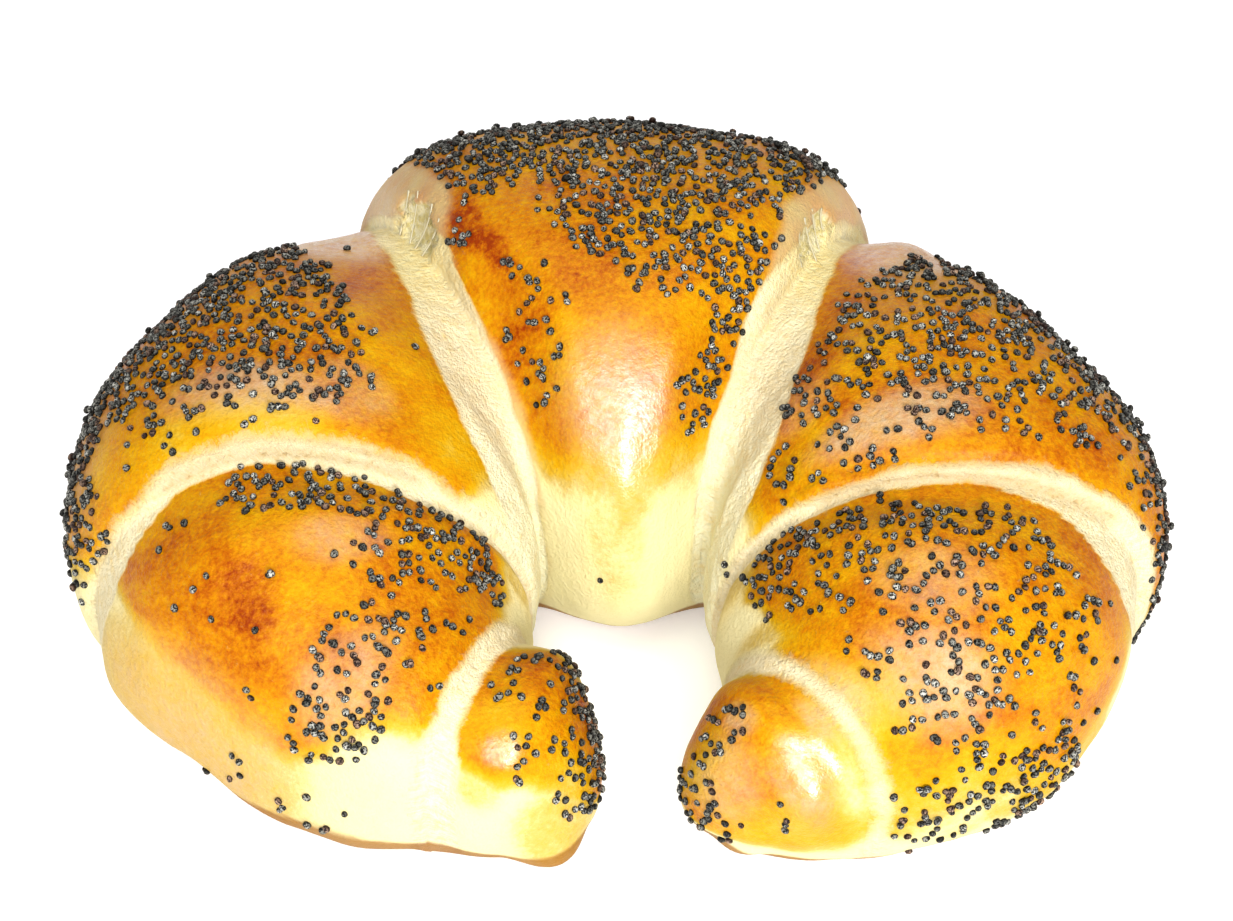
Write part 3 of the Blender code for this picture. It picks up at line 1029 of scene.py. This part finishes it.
# ---- materials
class Nodes:
    """A node material under construction, with short calls for the few kinds of node it uses."""

    def __init__(self, name):
        self.material = bpy.data.materials.new(name)
        self.material.use_nodes = True
        self.tree = self.material.node_tree
        self.shader = self.tree.nodes["Principled BSDF"]
        self.coordinates = self.tree.nodes.new("ShaderNodeTexCoord").outputs["Object"]

    def put(self, socket, value):
        """Sets a socket to a number or colour, or links an output to it."""
        if isinstance(value, bpy.types.NodeSocket):
            self.tree.links.new(value, socket)
        else:
            socket.default_value = value

    def set(self, name, value):
        """Puts a value or an output on one of the shader's own sockets."""
        self.put(self.shader.inputs[name], value)

    def node(self, kind, **values):
        """A new node with values or outputs on its sockets."""
        node = self.tree.nodes.new("ShaderNode" + kind)
        for name, value in values.items():
            self.put(node.inputs[name], value)
        return node

    def attribute(self, name):
        """A number kept on the vertices."""
        node = self.node("Attribute")
        node.attribute_type = "GEOMETRY"
        node.attribute_name = name
        return node.outputs["Fac"]

    def math(self, operation, *values, clamp=False):
        """One step of arithmetic, kept between 0 and 1 if asked."""
        node = self.node("Math")
        node.operation = operation
        node.use_clamp = clamp
        for socket, value in zip(node.inputs, values):
            self.put(socket, value)
        return node.outputs[0]

    def times(self, first, second):
        """first * second"""
        return self.math("MULTIPLY", first, second)

    def scaled(self, value, scale, offset=0, clamp=False):
        """value * scale + offset"""
        return self.math("MULTIPLY_ADD", value, scale, offset, clamp=clamp)

    def noise(self, size, detail=3, roughness=0.55, place=None):
        """Noise in lumps of about a size in millimetres, in the object's space or at a place."""
        scale = 1 if place else 1 / (size * MM)
        place = place or self.coordinates
        node = self.node("TexNoise", Vector=place, Scale=scale, Detail=detail, Roughness=roughness)
        return node.outputs["Fac"]

    def strands(self, length, width, slant):
        """A place for noise drawn out along the roll, from the distances kept on the vertices."""
        along = self.attribute("along")
        across = self.scaled(along, -slant, self.attribute("around"))
        along = self.math("DIVIDE", along, length)
        across = self.math("DIVIDE", across, width)
        return self.node("CombineXYZ", X=along, Y=across).outputs[0]

    def mix(self, share, first, second):
        """A blend of two colours."""
        node = self.node("Mix")
        node.data_type = "RGBA"
        self.put(node.inputs["Factor"], share)
        self.put(node.inputs[6], first)
        self.put(node.inputs[7], second)
        return node.outputs[2]

    def ramp(self, value, stops):
        """A colour ramp from (position, colour) stops in rising order."""
        node = self.node("ValToRGB", Fac=value)
        elements = node.color_ramp.elements
        elements[0].position, elements[0].color = stops[0]
        elements[1].position, elements[1].color = stops[-1]
        for position, colour in stops[1:-1]:
            elements.new(position).color = colour
        return node.outputs["Color"]

    def bump(self, height, distance, strength=1, target="Normal"):
        """Relief of a height map whose full range is a distance in millimetres."""
        node = self.node("Bump", Height=height, Distance=distance * MM, Strength=strength)
        self.tree.links.new(node.outputs["Normal"], self.shader.inputs[target])


def seen(red, green, blue, level=LIGHT_LEVEL):
    """The surface colour that shows as an 8-bit display colour under a level of light."""
    def surface(value):
        value /= 255
        linear = value / 12.92 if value <= 0.04045 else ((value + 0.055) / 1.055) ** 2.4
        return min(linear / level, LIGHTEST_SURFACE)
    return (surface(red), surface(green), surface(blue), 1)


def torn_seen(red, green, blue):
    """The same for torn dough, which lies in the dimmer creases: paler, as painted light against that
    shade.
    """
    return seen(red, green, blue, TORN_LIGHT_LEVEL)


def baked_colour(nodes, browned, mottle):
    """The crust from cream through yellow and gold to red-brown, with painted sheen and pale walls."""
    crust = nodes.ramp(browned, (
        # The two palest stops use the pale flanks' lower level: painted light against their shade.
        (0.00, seen(255, 243, 186, PALE_LIGHT_LEVEL)),
        (0.15, seen(255, 236, 168, PALE_LIGHT_LEVEL)),
        (0.28, seen(253, 218, 118)),
        (0.40, seen(252, 202, 58)),
        (0.52, seen(251, 188, 12)),
        (0.62, seen(246, 172, 2)),
        (0.75, seen(234, 144, 0)),
        (0.88, seen(210, 106, 0)),
        (1.00, seen(170, 56, 0)),
    ))
    # Painted sheen: peach patches for the lights and the room reflecting in the glaze.
    painted_sheen_share = nodes.times(nodes.attribute("painted_sheen"), nodes.scaled(mottle, 0.5, 0.5))
    painted_sheen_colour = nodes.mix(nodes.noise(1.6, 3, 0.6), seen(238, 190, 116), seen(248, 216, 184))
    crust = nodes.mix(painted_sheen_share, crust, painted_sheen_colour)
    bloom = nodes.scaled(nodes.noise(5, 3, 0.5), 3, -1, clamp=True)
    wall = nodes.mix(bloom, seen(252, 202, 138), seen(253, 234, 168))
    return nodes.mix(nodes.scaled(nodes.attribute("wall"), 0.70), crust, wall)


def torn_colour(nodes, fibre, tuft):
    """Torn dough: cream plies, warmer or paler beside the middle lobe, with mild baked stains; the
    paler folds are partly painted light.
    """
    ply = nodes.scaled(nodes.math("ADD", fibre, tuft), 2, -1.60, clamp=True)
    torn = nodes.mix(ply, torn_seen(252, 240, 202), torn_seen(238, 214, 158))
    # Paler folds: partly the dough's own cream, partly painted light against the shade in the creases.
    fold = nodes.mix(ply, torn_seen(255, 252, 218), torn_seen(254, 240, 186))
    torn = nodes.mix(nodes.attribute("fold"), torn, fold)
    warm = nodes.mix(ply, torn_seen(255, 242, 184), torn_seen(248, 216, 132))
    torn = nodes.mix(nodes.attribute("warm"), torn, warm)
    baked = nodes.scaled(nodes.noise(2.6, 4, 0.7), 6, -3.3, clamp=True)
    return nodes.mix(nodes.scaled(baked, 0.42), torn, torn_seen(242, 204, 116))


def crust_material():
    """Egg-washed crust with its torn bands, cracks, pockets and browned rim, with painted sheen on the
    glaze and painted shade in the cracks, creases and pockets.
    """
    nodes = Nodes("crust")
    tone = nodes.attribute("tone")
    soft_band = nodes.attribute("band")
    groove = nodes.attribute("groove")
    fibre = nodes.noise(1, 3, 0.6, nodes.strands(3.5, 0.30, 0.5))
    tuft = nodes.noise(0.9, 4, 0.7)
    ragged = nodes.scaled(tuft, 1.5, nodes.scaled(fibre, 0.6, -1.3))
    band = nodes.math("ADD", nodes.scaled(soft_band, 1.5), ragged, clamp=True)

    blotches = nodes.scaled(nodes.noise(4, 4, 0.6), 0.50, -0.25)
    flecks = nodes.scaled(nodes.noise(0.7, 4, 0.7), 0.60, -0.31)
    uneven = nodes.times(nodes.math("ADD", blotches, flecks), nodes.scaled(tone, 1.1, 0.12))
    rip = nodes.times(soft_band, nodes.scaled(soft_band, -1, 1))
    burnt = nodes.times(nodes.scaled(rip, 0.4), tone)
    browned = nodes.math("ADD", nodes.math("ADD", tone, burnt), uneven, clamp=True)
    mottle = nodes.scaled(nodes.noise(0.9, 4, 0.7), 4, -1.5, clamp=True)

    crust = baked_colour(nodes, browned, mottle)
    colour = nodes.mix(band, crust, torn_colour(nodes, fibre, tuft))
    crumbs = nodes.noise(0.9, 3, 0.6)
    # Painted shade: darker tan in the cracks and along the foot of each crease in the bands.
    shaded_cracks = nodes.times(nodes.scaled(crumbs, 7, -4, clamp=True), groove)
    crease_shade = nodes.scaled(nodes.times(groove, band), 0.50)
    colour = nodes.mix(nodes.scaled(shaded_cracks, 0.35, crease_shade), colour, seen(200, 162, 102))
    # Painted shade: the pockets' insides are a darker, olive cream with darker spots, for the shade in
    # the pits.
    darker_spots = nodes.scaled(crumbs, 5, -2, clamp=True)
    pit_shade = nodes.mix(darker_spots, torn_seen(248, 238, 194), torn_seen(224, 206, 136))
    colour = nodes.mix(nodes.scaled(nodes.attribute("pocket"), 2, clamp=True), colour, pit_shade)
    colour = nodes.mix(nodes.scaled(nodes.attribute("rim"), 0.85), colour, seen(172, 106, 22))
    nodes.set("Base Color", colour)

    glaze = nodes.scaled(browned, -0.36, 0.74)
    worn = nodes.math("ADD", glaze, nodes.scaled(nodes.noise(2.4), 0.24, -0.12))
    nodes.set("Roughness", nodes.math("MAXIMUM", worn, 0.34))
    nodes.set("Specular IOR Level", 0.18)
    nodes.set("Specular Tint", (1, 0.74, 0.10, 1))
    shine = nodes.times(nodes.attribute("gloss"), nodes.scaled(mottle, 0.60, 0.45))
    nodes.set("Coat Weight", nodes.scaled(shine, 0.9, nodes.scaled(browned, 0.05), clamp=True))
    nodes.set("Coat Roughness", 0.27)
    nodes.set("Coat IOR", 2.1)

    fine = nodes.noise(0.45, 2, 0.6)
    grain = nodes.scaled(fine, 0.80, nodes.scaled(nodes.noise(1.5, 3, 0.5), 0.6))
    fluff = nodes.scaled(nodes.times(tuft, band), 1.10, nodes.scaled(shaded_cracks, -0.8))
    nodes.bump(nodes.math("ADD", grain, fluff), 0.24)
    nodes.bump(fine, 0.05, target="Coat Normal")
    return nodes.material


def crumb_material():
    """Pale, soft crumb of the strands in the torn pockets."""
    nodes = Nodes("crumb")
    share = nodes.noise(1.4)
    nodes.set("Base Color", nodes.mix(share, seen(255, 250, 222), seen(240, 224, 170)))
    nodes.set("Roughness", nodes.scaled(share, 0.2, 0.55))
    nodes.bump(share, 0.15, strength=0.5)
    return nodes.material


def seed_material(name, dark, light):
    """Dull seed coat with a fine net of ridges, each seed its own shade. The ridges are pale only on
    top, a painted highlight, and the dark coat round the sides is partly painted shade.
    """
    nodes = Nodes(name)
    net = nodes.noise(0.20, 1, 0.5)
    ridges = nodes.scaled(net, 8, -3.6, clamp=True)
    share = nodes.times(ridges, nodes.scaled(nodes.attribute("shade"), 0.90, 0.28))
    # Painted highlight: the pale ridges show only towards the top of each seed.
    top = nodes.math("POWER", nodes.attribute("height"), 2.4)
    painted_top_light = nodes.math("MULTIPLY", top, share, clamp=True)
    nodes.set("Base Color", nodes.mix(painted_top_light, dark, light))
    nodes.set("Roughness", nodes.scaled(net, 0.3, 0.45))
    nodes.set("Specular IOR Level", 0.16)
    nodes.bump(net, 0.10)
    return nodes.material


def floor_material():
    """A white that glows a little, as a light table does."""
    nodes = Nodes("floor_white")
    white = nodes.mix(nodes.noise(33), (0.94, 0.94, 0.94, 1), (0.96, 0.96, 0.96, 1))
    nodes.set("Base Color", white)
    nodes.set("Roughness", 0.9)
    nodes.set("Emission Color", (0.97, 0.98, 1, 1))
    nodes.set("Emission Strength", FLOOR_GLOW)
    return nodes.material


# ---- the scene
def make_floor():
    """A plain white floor."""
    reach = FLOOR_HALF_SIZE
    corners = [(-reach, -reach, 0), (reach, -reach, 0), (reach, reach, 0), (-reach, reach, 0)]
    floor = add_object("floor", corners, [(0, 1, 2, 3)])
    floor.data.materials.append(floor_material())


def place_at(thing, distance, elevation, azimuth, aim):
    """Puts an object at a distance from a point; azimuth 0 is in front, 90 on the right."""
    level = math.cos(elevation)
    way = Vector((level * math.sin(azimuth), -level * math.cos(azimuth), math.sin(elevation)))
    thing.location = (Vector(aim) + way * distance) * MM
    thing.rotation_euler = way.to_track_quat("Z", "Y").to_euler()
    bpy.context.scene.collection.objects.link(thing)


def make_area_light(name, distance, elevation, azimuth, width, height, watts):
    """A soft rectangular light that faces the roll."""
    light = bpy.data.lights.new(name, "AREA")
    light.shape = "RECTANGLE"
    light.size = width * MM
    light.size_y = height * MM
    light.energy = watts
    thing = bpy.data.objects.new(name, light)
    place_at(thing, distance, math.radians(elevation), math.radians(azimuth), LIGHTS_AIM)


def light_scene():
    """A white room with two soft lights in front, one overhead and a bright wall behind the roll."""
    world = bpy.data.worlds.new("white_room")
    world.use_nodes = True
    background = world.node_tree.nodes["Background"]
    background.inputs["Color"].default_value = (1, 1, 1, 1)
    background.inputs["Strength"].default_value = ROOM_STRENGTH
    bpy.context.scene.world = world
    for light in LIGHTS:
        make_area_light(*light)


def make_camera():
    """The photograph's viewpoint: in front, about 46 degrees above the table."""
    camera = bpy.data.cameras.new("camera")
    camera.sensor_width = CAMERA_SENSOR
    camera.lens = CAMERA_LENS
    camera.clip_start = 0.01
    eye = bpy.data.objects.new("camera", camera)
    aim = (-PLAN_CENTRE[0], -PLAN_CENTRE[1], 0)
    place_at(eye, CAMERA_DISTANCE, CAMERA_ELEVATION, 0, aim)
    eye.rotation_euler = (math.pi / 2 - CAMERA_ELEVATION + CAMERA_TILT_UP, 0, 0)
    bpy.context.scene.camera = eye


# Pieces of seeds: name, share of all seeds, and the colours of the coat and of its ridges on top; the
# ridges' pale colour is a painted highlight.
SEED_KINDS = (
    ("seeds_slate", 0.42, seen(7, 7, 6), seen(244, 242, 228)),
    ("seeds_black", 0.41, seen(3, 3, 3), seen(184, 182, 168)),
    ("seeds_brown", 0.17, seen(34, 14, 8), seen(214, 176, 148)),
)

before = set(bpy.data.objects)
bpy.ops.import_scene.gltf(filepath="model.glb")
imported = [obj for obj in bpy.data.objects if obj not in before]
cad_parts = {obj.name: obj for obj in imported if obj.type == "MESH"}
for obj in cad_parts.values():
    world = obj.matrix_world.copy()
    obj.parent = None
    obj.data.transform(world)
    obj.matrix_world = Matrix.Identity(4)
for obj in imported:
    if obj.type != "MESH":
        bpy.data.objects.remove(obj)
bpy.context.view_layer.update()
bpy.context.scene.view_settings.view_transform = "Standard"
make_camera()
light_scene()
make_floor()

grid = Grid()
smooth_points = grid.points
amounts = dress_grid(grid)
dough = make_dough(grid, amounts)
dough.data.materials.append(crust_material())
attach(dough, "root")
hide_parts("crescent_roll")

draw = np.random.default_rng(SEED_RANDOM)
threads = make_threads(grid, smooth_points, draw)
threads.data.materials.append(crumb_material())
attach(threads, "root")

places, normals = scatter_seeds(grid, amounts, draw)
kind_draw = draw.random(len(places))
lowest = 0
for name, portion, dark, light in SEED_KINDS:
    chosen = (kind_draw >= lowest) & (kind_draw < lowest + portion)
    lowest += portion
    seeds = make_seed_piece(name, places[chosen], normals[chosen], draw)
    seeds.data.materials.append(seed_material(name, dark, light))
    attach(seeds, "root")
    print(name, int(chosen.sum()), "seeds")

bpy.context.view_layer.update()
